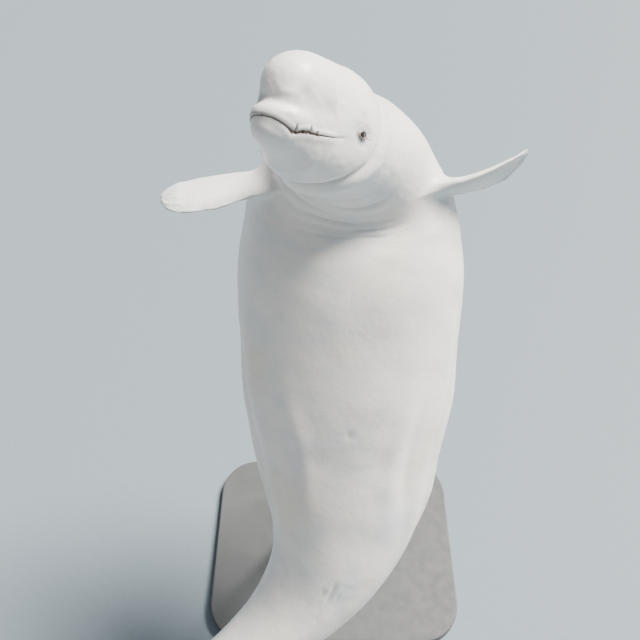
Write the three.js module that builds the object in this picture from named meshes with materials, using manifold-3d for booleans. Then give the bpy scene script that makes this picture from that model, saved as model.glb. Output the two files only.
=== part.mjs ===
// Adult beluga whale, life size, as a display model: it stands upright in a spy-hop, belly toward the
// viewer, head bent forward over the chest and turned to its right, tail curled to its right.
// Millimetres, +Z up. The origin is the middle of the stand base's underside, on the floor.
// The whale is shaped in its own straight frame (+X toward the snout, +Y its left side, +Z its back)
// and then laid along a bent spine.
import * as THREE from 'three';
import { mergeVertices } from 'three/addons/utils/BufferGeometryUtils.js';
import Module from 'manifold-3d';

const wasm = await Module();
wasm.setup();

// Driving dimensions of the straight whale, measured back from the front of the mouth.
const BODY_LENGTH = 4000;
const MOUTH_LEVEL = -52;
const MOUTH_CORNER_BACK = 238;
const EYE_BACK = 307;
const EYE_LEVEL = -10;
const EYEBALL_RADIUS = 19;
const EYEBALL_SUNK = 14;
const TAIL_END_BACK = 3870;
const PART_GAP = 0.3;
const CUT_CLEARANCE = 0.8;

// Where one named part of the body ends and the next begins.
const HEAD_END = 395;
const NECK_END = 720;
const CHEST_END = 1240;
const TRUNK_END = 1960;
const LOIN_END = 2760;

// Cross-sections of the body: back, top, bottom, half width, fullness of the section.
const BODY_STATIONS = [
  [220, 95, -125, 100, 2.0],
  [390, 158, -172, 148, 2.0],
  [500, 160, -196, 178, 2.0],
  [600, 200, -226, 238, 2.05],
  [760, 232, -270, 324, 2.1],
  [980, 290, -335, 424, 2.15],
  [1300, 358, -396, 474, 2.2],
  [1700, 384, -410, 476, 2.2],
  [2100, 364, -378, 428, 2.15],
  [2500, 305, -316, 326, 2.05],
  [2900, 238, -245, 215, 1.95],
  [3250, 172, -178, 130, 1.85],
  [3550, 112, -116, 78, 1.8],
  [3780, 66, -66, 50, 1.9],
  [3890, 30, -30, 24, 2.0],
];

// Rounded masses of the head: centre back and up, radii along, across and up, squareness, blend reach.
const HEAD_LOBES = [
  { name: 'cranium', back: 348, up: 10, radii: [220, 148, 184], square: 2.0, reach: 94 },
  { name: 'throat', back: 352, up: -84, radii: [250, 136, 102], square: 2.0, reach: 85 },
  { name: 'melon', back: 168, up: 64, radii: [141, 110, 116], square: 2.1, reach: 62 },
  { name: 'upper_lip', back: 178, up: -32, radii: [172, 103, 46], square: 2.3, reach: 40 },
  { name: 'jaw', back: 184, up: -78, radii: [174, 87, 62], square: 2.1, reach: 34 },
];

// How the spine bends: from, to (back), turn to the right, bend toward the belly, twist (degrees).
const SPINE_BENDS = [
  { from: 260, to: 800, right: 24, belly: -8, twist: 0 },
  { from: 420, to: 1200, right: -3, belly: 80, twist: -16 },
  { from: 1300, to: 2300, right: 0, belly: 13, twist: 0 },
  { from: 2100, to: 3400, right: 59, belly: 4, twist: 15 },
];
const CHEST_BACK = 1200;
const CHEST_POINT = new THREE.Vector3(36, 319, 2330);
const CHEST_LEAN = 26.6;
const SPINE_STEP = 10;

// Flippers: root on the chest, length, and where each one points (span) and faces (leading edge).
const FLIPPER = { back: 810, out: 270, up: -80, length: 460 };
const FLIPPER_STATIONS = [
  // share of the length, leading edge, trailing edge, thickness
  [0.0, 78, -70, 76],
  [0.18, 84, -74, 68],
  [0.4, 104, -106, 54],
  [0.62, 112, -132, 43],
  [0.8, 102, -130, 34],
  [0.92, 74, -102, 26],
  [0.98, 34, -60, 18],
  [1.0, 6, -26, 10],
];
const FLIPPER_POSES = {
  right: { side: -1, span: [-0.98, -0.15, -0.09], leading: [0, 0.97, -0.12], curl: 12, twist: 0 },
  left: { side: 1, span: [0.93, 0.26, -0.03], leading: [0, -0.62, 0.78], curl: 85, twist: 18 },
};

// Tail flukes: half span and the edges in plan.
const FLUKE_HALF_SPAN = 480;
const FLUKE_STATIONS = [
  // share of the half span, leading edge back, trailing edge back, thickness
  [0.0, 3560, 3900, 84],
  [0.1, 3588, 3952, 66],
  [0.25, 3640, 3990, 50],
  [0.5, 3728, 4000, 36],
  [0.75, 3818, 3986, 25],
  [0.9, 3876, 3962, 17],
  [0.97, 3910, 3946, 11],
  [1.0, 3926, 3938, 6],
];
const FLUKE_TIP_DROOP = 22;

// The low ridge along the back that stands where other whales have a fin.
const RIDGE = { from: 1990, to: 2560, height: 16, halfWidth: 26 };

// Display stand.
const BASE_SIZE = [1500, 1180, 60];
const BASE_CORNER = 220;
const ROD_RADIUS = 32;
const COLLAR_RADIUS = 70;
const COLLAR_HEIGHT = 36;
const CUP_DEPTH = 90;
const CUP_RIM = 12;
const ROD_OVERRUN = 150;
const BAR_SIDES = 20;
const FLOOR_BLOCK = [600, 600, 400];

// A smooth curve through one column of a table, which never swings past its rows.
function columnCurve(rows, column) {
  const x = rows.map((row) => row[0]);
  const y = rows.map((row) => row[column]);
  const last = x.length - 1;
  const step = x.slice(1).map((value, i) => value - x[i]);
  const rise = step.map((width, i) => (y[i + 1] - y[i]) / width);
  const slope = x.map((_, i) => {
    if (i === 0) return rise[0];
    if (i === last) return rise[last - 1];
    if (rise[i - 1] * rise[i] <= 0) return 0;
    const before = 2 * step[i] + step[i - 1];
    const after = step[i] + 2 * step[i - 1];
    return (before + after) / (before / rise[i - 1] + after / rise[i]);
  });
  return (at) => {
    const clamped = THREE.MathUtils.clamp(at, x[0], x[last]);
    let i = 0;
    while (i < last - 1 && clamped > x[i + 1]) i += 1;
    const t = (clamped - x[i]) / step[i];
    return (1 + 2 * t) * (1 - t) ** 2 * y[i] + t * (1 - t) ** 2 * step[i] * slope[i]
      + t * t * (3 - 2 * t) * y[i + 1] + t * t * (t - 1) * step[i] * slope[i + 1];
  };
}

const bodyTop = columnCurve(BODY_STATIONS, 1);
const bodyBottom = columnCurve(BODY_STATIONS, 2);
const bodyHalfWidth = columnCurve(BODY_STATIONS, 3);
const bodyFullness = columnCurve(BODY_STATIONS, 4);

// Joins two distances into one with a soft fillet of the given reach.
function softUnion(a, b, reach) {
  const overlap = Math.max(1 - Math.abs(a - b) / (1.5 * reach), 0);
  return Math.min(a, b) - overlap ** 3 * reach / 4;
}

function trunkDistance(point) {
  const back = -point.x;
  const top = bodyTop(back);
  const bottom = bodyBottom(back);
  const halfWidth = bodyHalfWidth(back);
  const halfHeight = (top - bottom) / 2;
  const power = bodyFullness(back);
  const across = Math.abs(point.y / halfWidth) ** power;
  const upward = Math.abs((point.z - (top + bottom) / 2) / halfHeight) ** power;
  const ratio = (across + upward) ** (1 / power);
  return Math.max((ratio - 1) * Math.min(halfWidth, halfHeight), BODY_STATIONS[0][0] - back);
}

function lobeDistance(point, lobe) {
  const offset = [point.x + lobe.back, point.y, point.z - lobe.up];
  const power = lobe.square;
  const shares = offset.map((value, i) => Math.abs(value) / lobe.radii[i]);
  const ratio = (shares[0] ** power + shares[1] ** power + shares[2] ** power) ** (1 / power);
  const slopes = shares.map((share, i) => (share / ratio) ** (power - 1) / lobe.radii[i]);
  return (ratio - 1) / Math.hypot(...slopes);
}

// Distance to the skin of the body without its fins: below zero inside.
function bodyDistance(point) {
  return HEAD_LOBES.reduce(
    (distance, lobe) => softUnion(distance, lobeDistance(point, lobe), lobe.reach),
    trunkDistance(point),
  );
}

// Where a ray from inside the body meets its skin, found by halving the span that holds it.
const SKIN_REACH = 650;
const HALVINGS = 24;

function skinPoint(origin, direction) {
  let inside = 0;
  let outside = SKIN_REACH;
  for (let i = 0; i < HALVINGS; i += 1) {
    const middle = (inside + outside) / 2;
    if (bodyDistance(origin.clone().addScaledVector(direction, middle)) < 0) inside = middle;
    else outside = middle;
  }
  return origin.clone().addScaledVector(direction, (inside + outside) / 2);
}

// The line that the cross-sections are drawn around.
const AXIS_STATIONS = [[MOUTH_CORNER_BACK, MOUTH_LEVEL], [420, -46], [900, 0], [1400, 0], [4000, 0]];
const axisLevel = columnCurve(AXIS_STATIONS, 1);
const RING_SIDES = 36;

function bodyRing(back, grow) {
  const centre = new THREE.Vector3(-back, 0, axisLevel(back));
  return Array.from({ length: RING_SIDES }, (_, i) => {
    const angle = (2 * Math.PI * i) / RING_SIDES;
    const direction = new THREE.Vector3(0, Math.cos(angle), Math.sin(angle));
    return skinPoint(centre, direction).addScaledVector(direction, grow);
  });
}

// A ring of the rounded front of the head, the given angle away from straight forward.
function noseRing(fromForward) {
  const centre = new THREE.Vector3(-MOUTH_CORNER_BACK, 0, MOUTH_LEVEL);
  return Array.from({ length: RING_SIDES }, (_, i) => {
    const angle = (2 * Math.PI * i) / RING_SIDES;
    const sideways = Math.sin(fromForward);
    return skinPoint(centre, new THREE.Vector3(
      Math.cos(fromForward), sideways * Math.cos(angle), sideways * Math.sin(angle),
    ));
  });
}

function volumeOf(positions, indices) {
  const corner = (i) => new THREE.Vector3().fromArray(positions, 3 * indices[i]);
  let volume = 0;
  for (let i = 0; i < indices.length; i += 3) {
    volume += corner(i).dot(corner(i + 1).cross(corner(i + 2))) / 6;
  }
  return volume;
}

// A closed solid through a row of rings, with its two ends closed to a point.
function ringSolid(rings, firstPoint, lastPoint) {
  const sides = rings[0].length;
  const positions = [...rings.flat(), firstPoint, lastPoint].flatMap((point) => point.toArray());
  const first = rings.length * sides;
  const indices = [];
  rings.forEach((ring, r) => ring.forEach((_, i) => {
    const next = (i + 1) % sides;
    const here = r * sides;
    if (r === 0) indices.push(first, i, next);
    if (r === rings.length - 1) {
      indices.push(first + 1, here + next, here + i);
      return;
    }
    indices.push(here + i, here + sides + i, here + next);
    indices.push(here + next, here + sides + i, here + sides + next);
  }));
  if (volumeOf(positions, indices) < 0) indices.reverse();
  const geometry = new THREE.BufferGeometry();
  geometry.setAttribute('position', new THREE.Float32BufferAttribute(positions, 3));
  geometry.setIndex(indices);
  return geometry;
}

function middleOf(ring) {
  const sum = ring.reduce((total, point) => total.add(point), new THREE.Vector3());
  return sum.divideScalar(ring.length);
}

// A stretch of the body between two cuts, with flat ends.
function bodyStretch(from, to, ringCount, grow = 0) {
  const rings = Array.from({ length: ringCount + 1 }, (_, i) => (
    bodyRing(from + ((to - from) * i) / ringCount, grow)
  ));
  return ringSolid(rings, middleOf(rings[0]), middleOf(rings[ringCount]));
}

function headSolid() {
  const noseSteps = 12;
  const rings = Array.from({ length: noseSteps }, (_, i) => (
    noseRing(((i + 1) / noseSteps) * Math.PI / 2)
  ));
  const backSteps = 5;
  for (let i = 1; i <= backSteps; i += 1) {
    rings.push(bodyRing(MOUTH_CORNER_BACK + ((HEAD_END - MOUTH_CORNER_BACK) * i) / backSteps, 0));
  }
  const tip = skinPoint(new THREE.Vector3(-MOUTH_CORNER_BACK, 0, MOUTH_LEVEL), new THREE.Vector3(1, 0, 0));
  return ringSolid(rings, tip, middleOf(rings[rings.length - 1]));
}

// A closed solid that can be cut and joined, its equal corners welded.
const WELD = 1e-4;

function toManifold(geometry) {
  const bare = geometry.clone();
  bare.deleteAttribute('normal');
  bare.deleteAttribute('uv');
  const merged = mergeVertices(bare, WELD);
  return new wasm.Manifold(new wasm.Mesh({
    numProp: 3,
    vertProperties: new Float32Array(merged.attributes.position.array),
    triVerts: new Uint32Array(merged.index.array),
  }));
}

function fromManifold(solid) {
  const mesh = solid.getMesh();
  const geometry = new THREE.BufferGeometry();
  geometry.setAttribute('position', new THREE.Float32BufferAttribute(mesh.vertProperties, 3));
  geometry.setIndex(Array.from(mesh.triVerts));
  return geometry;
}

// The spine: a point and a frame (head direction, left, back) every step from snout to flukes.
function spineAt() {
  const count = Math.round(BODY_LENGTH / SPINE_STEP);
  const nodes = new Array(count + 1);
  const lean = THREE.MathUtils.degToRad(CHEST_LEAN);
  const head = new THREE.Vector3(0, Math.sin(lean), Math.cos(lean));
  const left = new THREE.Vector3(1, 0, 0);
  const chest = Math.round(CHEST_BACK / SPINE_STEP);
  const start = { point: CHEST_POINT, head, left, dorsal: head.clone().cross(left) };
  [-1, 1].forEach((way) => {
    let node = start;
    nodes[chest] = start;
    for (let i = chest; i + way >= 0 && i + way <= count; i += way) {
      node = nextSpineNode(node, (i + way / 2) * SPINE_STEP, way);
      nodes[i + way] = node;
    }
  });
  return nodes;
}

// One step toward the head (way -1) or the tail (way 1), turned by the bends that act there.
function nextSpineNode(node, back, way) {
  const turn = new THREE.Vector3();
  SPINE_BENDS.filter((bend) => bend.from < back && back < bend.to).forEach((bend) => {
    const share = (back - bend.from) / (bend.to - bend.from);
    const rate = THREE.MathUtils.degToRad(6 * share * (1 - share) * SPINE_STEP) / (bend.to - bend.from);
    turn.addScaledVector(node.dorsal, way * bend.right * rate);
    turn.addScaledVector(node.left, -way * bend.belly * rate);
    turn.addScaledVector(node.head, bend.twist * rate);
  });
  const quaternion = new THREE.Quaternion();
  if (turn.length() > 0) quaternion.setFromAxisAngle(turn.clone().normalize(), turn.length());
  const head = node.head.clone().applyQuaternion(quaternion);
  const point = node.point.clone()
    .addScaledVector(node.head, (-way * SPINE_STEP) / 2)
    .addScaledVector(head, (-way * SPINE_STEP) / 2);
  return {
    point,
    head,
    left: node.left.clone().applyQuaternion(quaternion),
    dorsal: node.dorsal.clone().applyQuaternion(quaternion),
  };
}

const spine = spineAt();

function spineFrame(back) {
  const place = THREE.MathUtils.clamp(back / SPINE_STEP, 0, spine.length - 1.001);
  const index = Math.floor(place);
  const share = place - index;
  const mix = (key) => spine[index][key].clone().lerp(spine[index + 1][key], share);
  return { point: mix('point'), head: mix('head'), left: mix('left'), dorsal: mix('dorsal') };
}

function posed(point) {
  const frame = spineFrame(-point.x);
  const beyond = THREE.MathUtils.clamp(-point.x, 0, BODY_LENGTH) + point.x;
  return frame.point
    .addScaledVector(frame.head, beyond)
    .addScaledVector(frame.left, point.y)
    .addScaledVector(frame.dorsal, point.z);
}

function posedGeometry(geometry) {
  const result = geometry.clone();
  const position = result.attributes.position;
  const point = new THREE.Vector3();
  for (let i = 0; i < position.count; i += 1) {
    position.setXYZ(i, ...posed(point.fromBufferAttribute(position, i)).toArray());
  }
  return result;
}

// Finishes, one for each kind of surface.
const FINISHES = {
  skin: { color: 0xe9e6dc, roughness: 0.5, metalness: 0 },
  headSkin: { color: 0xf0eee6, roughness: 0.45, metalness: 0 },
  lipSkin: { color: 0xd9d7cf, roughness: 0.5, metalness: 0 },
  finSkin: { color: 0xd8d8d3, roughness: 0.5, metalness: 0 },
  eye: { color: 0x1d1714, roughness: 0.1, metalness: 0 },
  basePaint: { color: 0x4a4d50, roughness: 0.6, metalness: 0 },
  padRubber: { color: 0x2c2d2f, roughness: 0.8, metalness: 0 },
  rodSteel: { color: 0xa9adb0, roughness: 0.35, metalness: 0.9 },
};

const whale = new THREE.Group();

function addPart(name, geometry, finish) {
  const mesh = new THREE.Mesh(geometry, new THREE.MeshStandardMaterial(FINISHES[finish]));
  mesh.name = name;
  whale.add(mesh);
  return mesh;
}

// Cutters for the head: outlines seen from the side, drawn right across the head.
function sideCutter(outline, grow = 0) {
  const middle = outline.reduce((sum, point) => sum.map((v, i) => v + point[i] / outline.length), [0, 0]);
  const shape = new THREE.Shape(outline.map(([back, up], i) => {
    const before = outline[(i + outline.length - 1) % outline.length];
    const after = outline[(i + 1) % outline.length];
    const normals = [[before, [back, up]], [[back, up], after]].map(([a, b]) => {
      const normal = new THREE.Vector2(b[1] - a[1], a[0] - b[0]).normalize();
      const outward = normal.x * (back - middle[0]) + normal.y * (up - middle[1]);
      return outward < 0 ? normal.negate() : normal;
    });
    const corner = normals[0].clone().add(normals[1]);
    corner.multiplyScalar(grow * 2 / corner.lengthSq());
    return new THREE.Vector2(-(back + corner.x), up + corner.y);
  }));
  const across = 500;
  const geometry = new THREE.ExtrudeGeometry(shape, { depth: across, bevelEnabled: false });
  geometry.translate(0, 0, -across / 2);
  geometry.rotateX(Math.PI / 2);
  return toManifold(geometry);
}

const JAW_OUTLINE = [
  [-60, MOUTH_LEVEL], [160, MOUTH_LEVEL - 8], [MOUTH_CORNER_BACK, MOUTH_LEVEL + 8], [318, -330], [-60, -330],
];
const LIP_OUTLINE = [
  [-60, MOUTH_LEVEL], [160, MOUTH_LEVEL - 8], [MOUTH_CORNER_BACK, MOUTH_LEVEL + 8], [254, 12], [130, -6], [-60, -6],
];
const MELON_OUTLINE = [[-60, -6], [130, -6], [254, 12], [318, 330], [-60, 330]];

function eyePlace(side) {
  const middle = new THREE.Vector3(-EYE_BACK, 0, EYE_LEVEL);
  const surface = skinPoint(middle, new THREE.Vector3(0, side, 0));
  surface.y -= side * EYEBALL_SUNK;
  return surface;
}

function eyeball(side, radius) {
  const place = eyePlace(side);
  const geometry = new THREE.SphereGeometry(radius, 12, 8);
  geometry.translate(place.x, place.y, place.z);
  return geometry;
}

function addHead() {
  const whole = toManifold(headSolid());
  const cutters = { lower_jaw: JAW_OUTLINE, upper_jaw: LIP_OUTLINE, melon: MELON_OUTLINE };
  let rest = whole;
  Object.entries(cutters).forEach(([name, outline]) => {
    const finish = name === 'melon' ? 'headSkin' : 'lipSkin';
    const piece = rest.intersect(sideCutter(outline));
    addPart(name, posedGeometry(fromManifold(piece)), finish);
    rest = rest.subtract(sideCutter(outline, PART_GAP));
  });
  [1, -1].forEach((side) => {
    rest = rest.subtract(toManifold(eyeball(side, EYEBALL_RADIUS + PART_GAP)));
    addPart(side > 0 ? 'eye_left' : 'eye_right', posedGeometry(eyeball(side, EYEBALL_RADIUS)), 'eye');
  });
  addPart('head', posedGeometry(fromManifold(rest)), 'headSkin');
}

addHead();

// The rest of the body, each part starting one gap behind the one before.
const STRETCHES = [
  { name: 'neck', from: HEAD_END, to: NECK_END, rings: 7 },
  { name: 'chest', from: NECK_END, to: CHEST_END, rings: 8 },
  { name: 'trunk', from: CHEST_END, to: TRUNK_END, rings: 7 },
  { name: 'loin', from: TRUNK_END, to: LOIN_END, rings: 9 },
  { name: 'tail_stock', from: LOIN_END, to: TAIL_END_BACK, rings: 13 },
];

STRETCHES.forEach(({ name, from, to, rings }) => {
  addPart(name, posedGeometry(bodyStretch(from + PART_GAP, to, rings)), 'skin');
});

// The named stretches of the posed body, a little fat and long, that their neighbours are cut back to.
function cutBack(solid, names) {
  return STRETCHES.filter(({ name }) => names.includes(name)).reduce((rest, { from, to, rings }) => {
    const fat = bodyStretch(from - 1, to + 1, rings, CUT_CLEARANCE);
    return rest.subtract(toManifold(posedGeometry(fat)));
  }, solid);
}

// The low ridge of the back: a long mound, cut off where it meets the skin.
function addRidge() {
  const steps = 12;
  const sides = 10;
  const rings = [];
  for (let i = 1; i < steps; i += 1) {
    const share = i / steps;
    const back = RIDGE.from + (RIDGE.to - RIDGE.from) * share;
    const swell = Math.sin(Math.PI * share) ** 0.6;
    rings.push(Array.from({ length: sides }, (_, k) => {
      const angle = (2 * Math.PI * k) / sides;
      return new THREE.Vector3(
        -back,
        RIDGE.halfWidth * swell * Math.cos(angle),
        bodyTop(back) - RIDGE.height / 2 + RIDGE.height * 1.5 * swell * Math.sin(angle),
      );
    }));
  }
  const end = (back) => new THREE.Vector3(-back, 0, bodyTop(back) - RIDGE.height / 2);
  const mound = toManifold(posedGeometry(ringSolid(rings, end(RIDGE.from), end(RIDGE.to))));
  addPart('dorsal_ridge', fromManifold(cutBack(mound, ['loin'])), 'skin');
}

addRidge();

// One cross-section of a fin: rounded in front, thinner behind.
const FIN_SIDES = 14;

function finSection(leading, trailing, thickness) {
  return Array.from({ length: FIN_SIDES }, (_, i) => {
    const angle = (2 * Math.PI * i) / FIN_SIDES;
    const along = (leading + trailing) / 2 + ((leading - trailing) / 2) * Math.cos(angle);
    const through = (thickness / 2) * Math.sin(angle) * (0.8 + 0.2 * Math.cos(angle));
    return [along, through];
  });
}

const FIN_SHARES = [0, 0.08, 0.18, 0.29, 0.4, 0.51, 0.62, 0.71, 0.8, 0.87, 0.93, 0.97, 0.99, 1];

function addFlipper(name, { side, span, leading, curl, twist }) {
  const leadEdge = columnCurve(FLIPPER_STATIONS, 1);
  const trailEdge = columnCurve(FLIPPER_STATIONS, 2);
  const thickness = columnCurve(FLIPPER_STATIONS, 3);
  const frame = spineFrame(FLIPPER.back);
  const root = frame.point
    .addScaledVector(frame.left, side * FLIPPER.out)
    .addScaledVector(frame.dorsal, FLIPPER.up);
  const spanAxis = new THREE.Vector3(...span).normalize();
  const leadAxis = new THREE.Vector3(...leading).addScaledVector(
    spanAxis, -spanAxis.dot(new THREE.Vector3(...leading)),
  ).normalize();
  const faceAxis = spanAxis.clone().cross(leadAxis);
  if (faceAxis.z < 0) faceAxis.negate();
  const rings = FIN_SHARES.map((share) => {
    const turn = THREE.MathUtils.degToRad(twist) * share ** 2 * faceAxis.dot(spanAxis.clone().cross(leadAxis));
    const leadTurned = leadAxis.clone().applyAxisAngle(spanAxis, turn);
    const faceTurned = faceAxis.clone().applyAxisAngle(spanAxis, turn);
    return finSection(leadEdge(share), trailEdge(share), thickness(share)).map(([along, through]) => (
      root.clone()
        .addScaledVector(spanAxis, share * FLIPPER.length)
        .addScaledVector(leadTurned, along)
        .addScaledVector(faceTurned, through)
        .addScaledVector(faceAxis, curl * share ** 3)
    ));
  });
  const paddle = toManifold(ringSolid(rings, middleOf(rings[0]), middleOf(rings[rings.length - 1])));
  addPart(name, fromManifold(cutBack(paddle, ['neck', 'chest'])), 'finSkin');
}

addFlipper('flipper_left', FLIPPER_POSES.left);
addFlipper('flipper_right', FLIPPER_POSES.right);

function addFluke(name, side) {
  const leadEdge = columnCurve(FLUKE_STATIONS, 1);
  const trailEdge = columnCurve(FLUKE_STATIONS, 2);
  const thickness = columnCurve(FLUKE_STATIONS, 3);
  const rings = FIN_SHARES.map((share) => (
    finSection(-leadEdge(share), -trailEdge(share), thickness(share)).map(([along, through]) => (
      new THREE.Vector3(
        along,
        side * (PART_GAP / 2 + share * FLUKE_HALF_SPAN),
        through - FLUKE_TIP_DROOP * share ** 2,
      )
    ))
  ));
  const blade = ringSolid(rings, middleOf(rings[0]), middleOf(rings[rings.length - 1]));
  addPart(name, fromManifold(cutBack(toManifold(posedGeometry(blade)), ['tail_stock'])), 'finSkin');
}

addFluke('fluke_left', 1);
addFluke('fluke_right', -1);

// The stand: a plain flat base and two steel rods with cups that fit the whale's back.
function addBase() {
  const [width, depth, height] = BASE_SIZE;
  const edge = 8;
  const x = width / 2 - edge;
  const y = depth / 2 - edge;
  const shape = new THREE.Shape();
  shape.moveTo(x - BASE_CORNER, -y);
  shape.absarc(x - BASE_CORNER, BASE_CORNER - y, BASE_CORNER, -Math.PI / 2, 0);
  shape.absarc(x - BASE_CORNER, y - BASE_CORNER, BASE_CORNER, 0, Math.PI / 2);
  shape.absarc(BASE_CORNER - x, y - BASE_CORNER, BASE_CORNER, Math.PI / 2, Math.PI);
  shape.absarc(BASE_CORNER - x, BASE_CORNER - y, BASE_CORNER, Math.PI, 1.5 * Math.PI);
  const geometry = new THREE.ExtrudeGeometry(shape, {
    depth: height - 2 * edge,
    bevelThickness: edge,
    bevelSize: edge,
    bevelSegments: 2,
    curveSegments: 6,
  });
  geometry.translate(0, 0, edge);
  addPart('stand_base', geometry, 'basePaint');
}

addBase();

// Each rod leans from its foot on the base to the point of the back that it carries.
const RODS = [
  { name: 'trunk', back: 1850, foot: [60, 440], cup: 96 },
  { name: 'tail', back: 2960, foot: [-250, 130], cup: 78 },
];

// A round bar from one point to another, its radius given at both ends.
function bar(from, to, startRadius, endRadius) {
  const axis = to.clone().sub(from);
  const geometry = new THREE.CylinderGeometry(endRadius, startRadius, axis.length(), BAR_SIDES, 1);
  geometry.translate(0, axis.length() / 2, 0);
  geometry.applyQuaternion(
    new THREE.Quaternion().setFromUnitVectors(new THREE.Vector3(0, 1, 0), axis.normalize()),
  );
  geometry.translate(from.x, from.y, from.z);
  return geometry;
}

function addRod({ name, back, foot, cup }) {
  const frame = spineFrame(back);
  const contact = frame.point.clone().addScaledVector(frame.dorsal, bodyTop(back));
  const baseTop = BASE_SIZE[2] + PART_GAP;
  const footPoint = new THREE.Vector3(foot[0], foot[1], baseTop);
  const axis = contact.clone().sub(footPoint).normalize();
  const at = (distance) => contact.clone().addScaledVector(axis, distance);

  const cupSolid = toManifold(bar(at(-CUP_DEPTH), at(CUP_DEPTH), ROD_RADIUS + CUP_RIM, cup));
  addPart(`stand_cup_${name}`, fromManifold(cutBack(cupSolid, ['trunk', 'loin', 'tail_stock'])), 'padRubber');

  const below = footPoint.clone().addScaledVector(axis, -ROD_OVERRUN);
  const block = new THREE.BoxGeometry(...FLOOR_BLOCK);
  block.translate(foot[0], foot[1], baseTop - FLOOR_BLOCK[2] / 2);
  const rodSolid = toManifold(bar(below, at(-CUP_DEPTH - PART_GAP), ROD_RADIUS, ROD_RADIUS))
    .subtract(toManifold(block));
  const collar = new THREE.CylinderGeometry(COLLAR_RADIUS, COLLAR_RADIUS, COLLAR_HEIGHT, BAR_SIDES, 1);
  collar.rotateX(Math.PI / 2);
  collar.translate(footPoint.x, footPoint.y, baseTop + COLLAR_HEIGHT / 2);
  const collarSolid = toManifold(collar);
  const bore = toManifold(bar(below, at(0), ROD_RADIUS + PART_GAP, ROD_RADIUS + PART_GAP));
  addPart(`stand_rod_${name}`, fromManifold(rodSolid), 'rodSteel');
  addPart(`stand_collar_${name}`, fromManifold(collarSolid.subtract(bore)), 'basePaint');
}

RODS.forEach(addRod);

export default whale;
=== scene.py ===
import math

import bpy
import numpy as np
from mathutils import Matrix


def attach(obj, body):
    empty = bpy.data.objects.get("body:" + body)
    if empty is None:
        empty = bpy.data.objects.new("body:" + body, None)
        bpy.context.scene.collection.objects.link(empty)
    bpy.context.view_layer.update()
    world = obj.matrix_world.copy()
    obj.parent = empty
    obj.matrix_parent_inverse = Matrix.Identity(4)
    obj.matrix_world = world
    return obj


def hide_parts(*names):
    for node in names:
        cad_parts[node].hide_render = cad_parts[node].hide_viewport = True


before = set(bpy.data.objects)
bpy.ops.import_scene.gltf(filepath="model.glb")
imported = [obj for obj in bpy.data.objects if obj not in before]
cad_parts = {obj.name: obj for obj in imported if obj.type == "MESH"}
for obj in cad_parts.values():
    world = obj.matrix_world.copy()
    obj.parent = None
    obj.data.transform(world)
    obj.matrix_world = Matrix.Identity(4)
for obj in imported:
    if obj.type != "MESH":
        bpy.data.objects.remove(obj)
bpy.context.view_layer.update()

# Backbone
# A beluga's neck bones stay loose, so it bends sharply at the neck, and its tail swings to both sides. The
# whale is shaped straight, each place given as back from the snout, left and up, then laid along this line.
BODY_LENGTH = 4.0
SPINE_STEP = 0.002
SPINE_BENDS = [
    # from, to (back), degrees to the right, toward the belly, and of twist
    (0.26, 0.80, 24, -8, 0),
    (0.42, 1.20, -3, 80, -16),
    (1.30, 2.30, 0, 13, 0),
    (2.10, 3.40, 59, 4, 15),
]
CHEST_BACK = 1.2
CHEST_POINT = (0.036, 0.319, 2.330)
CHEST_LEAN = math.radians(26.6)


def turned(vectors, turn):
    """Vectors turned about an axis whose length is the angle."""
    angle = np.linalg.norm(turn)
    if angle == 0:
        return vectors
    axis = turn / angle
    along = (vectors @ axis)[:, None] * axis
    across = np.cross(axis, vectors)
    return vectors * math.cos(angle) + across * math.sin(angle) + along * (1 - math.cos(angle))


def turn_at(back, axes, way):
    """The small turn of one step along the backbone, gentle at both ends of each bend."""
    head, left, dorsal = axes
    turn = np.zeros(3)
    for start, end, right, belly, twist in SPINE_BENDS:
        if start < back < end:
            share = (back - start) / (end - start)
            rate = math.radians(6 * share * (1 - share) * SPINE_STEP) / (end - start)
            turn += rate * (way * right * dorsal - way * belly * left + twist * head)
    return turn


def backbone():
    """Steps from the chest to the snout and to the tail, with the axes head, left and back at each."""
    last = round(BODY_LENGTH / SPINE_STEP)
    chest = round(CHEST_BACK / SPINE_STEP)
    points = np.zeros((last + 1, 3))
    frames = np.zeros((last + 1, 3, 3))
    head = np.array([0.0, math.sin(CHEST_LEAN), math.cos(CHEST_LEAN)])
    left = np.array([1.0, 0.0, 0.0])
    for way in (-1, 1):
        point = np.array(CHEST_POINT)
        axes = np.array([head, left, np.cross(head, left)])
        points[chest] = point
        frames[chest] = axes
        index = chest
        while 0 <= index + way <= last:
            after = turned(axes, turn_at((index + way / 2) * SPINE_STEP, axes, way))
            point = point - way * SPINE_STEP / 2 * (axes[0] + after[0])
            axes = after
            index += way
            points[index] = point
            frames[index] = axes
    return points, frames


spine_points, spine_frames = backbone()


def spine_at(back):
    step = np.clip(np.asarray(back, float) / SPINE_STEP, 0, len(spine_points) - 1.001)
    index = step.astype(int)
    share = (step - index)[..., None]
    point = spine_points[index] * (1 - share) + spine_points[index + 1] * share
    share = share[..., None]
    return point, spine_frames[index] * (1 - share) + spine_frames[index + 1] * share


def laid(places):
    """Places on the straight whale, laid along the bent backbone."""
    back = np.clip(places[..., 0], 0, BODY_LENGTH)
    point, axes = spine_at(back)
    steps = np.stack([back - places[..., 0], places[..., 1], places[..., 2]], -1)
    return point + np.einsum("...i,...ij->...j", steps, axes)


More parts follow.
